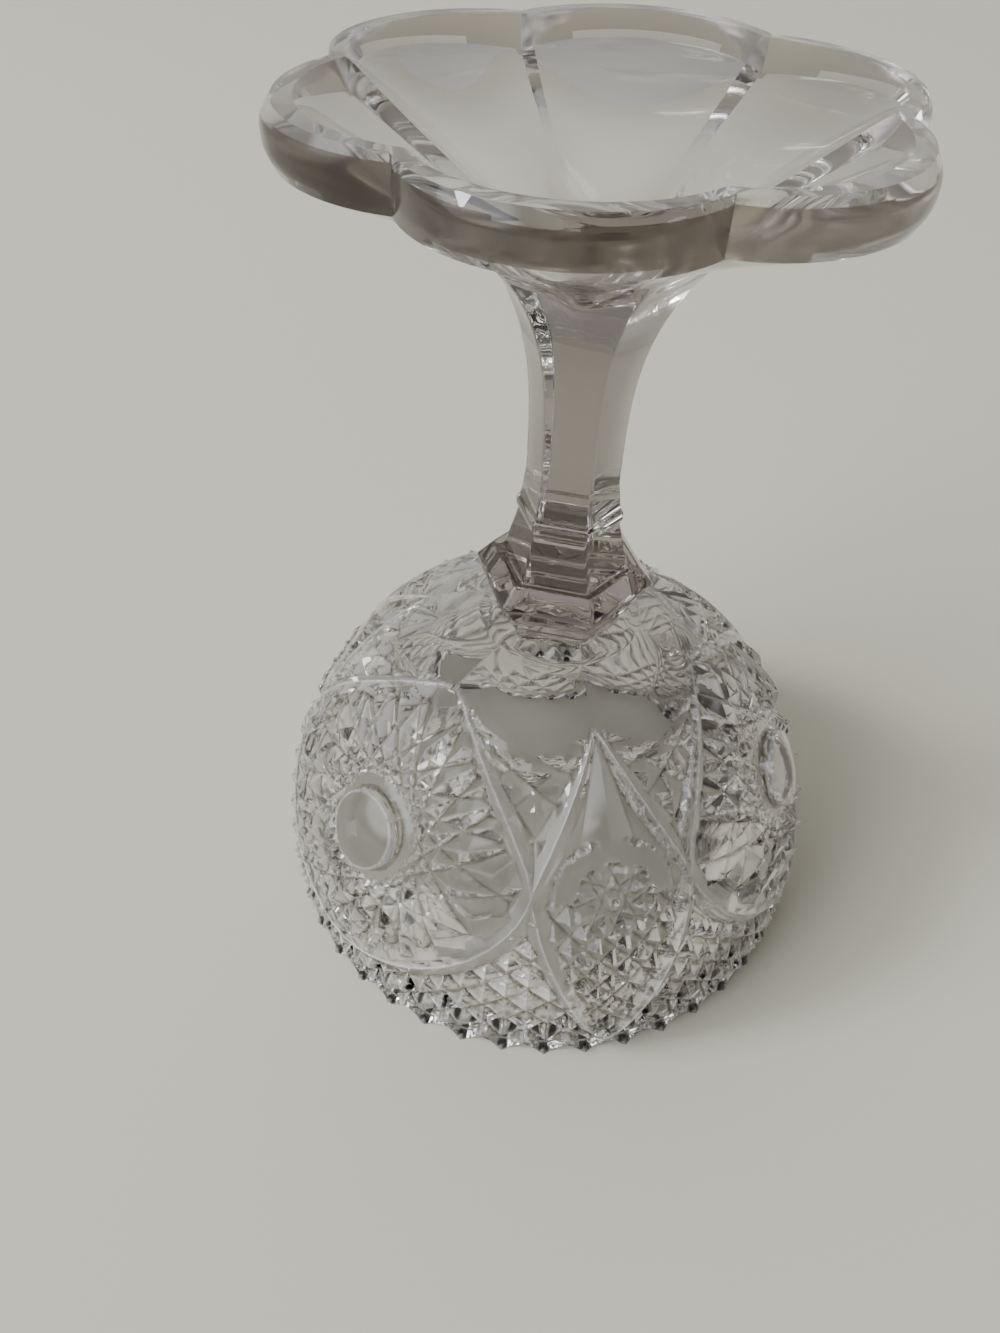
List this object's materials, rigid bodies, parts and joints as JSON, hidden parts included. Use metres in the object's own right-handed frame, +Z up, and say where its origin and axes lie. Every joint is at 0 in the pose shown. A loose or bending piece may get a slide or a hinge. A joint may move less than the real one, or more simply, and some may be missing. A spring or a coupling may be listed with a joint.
{
  "type": "compote",
  "caption": "Clear pressed-glass compote shown upside down: a round carved bowl with a toothed rim, a hexagonal knop and stem, and a lobed hollow foot",
  "frame": {"origin": "centre of the rim circle, on the surface that the rim stands on, as pictured upside down", "axes": "+Z up through the stem to the foot, and -Y towards one corner of the hexagonal stem"},
  "size_m": [0.128, 0.128, 0.18],
  "materials": {
    "glass": "polished"
  },
  "bodies": {
    "root": {"bowl": "glass", "neck": "glass", "collar": "glass", "stem": "glass", "foot": "glass"}
  },
  "joints": []
}
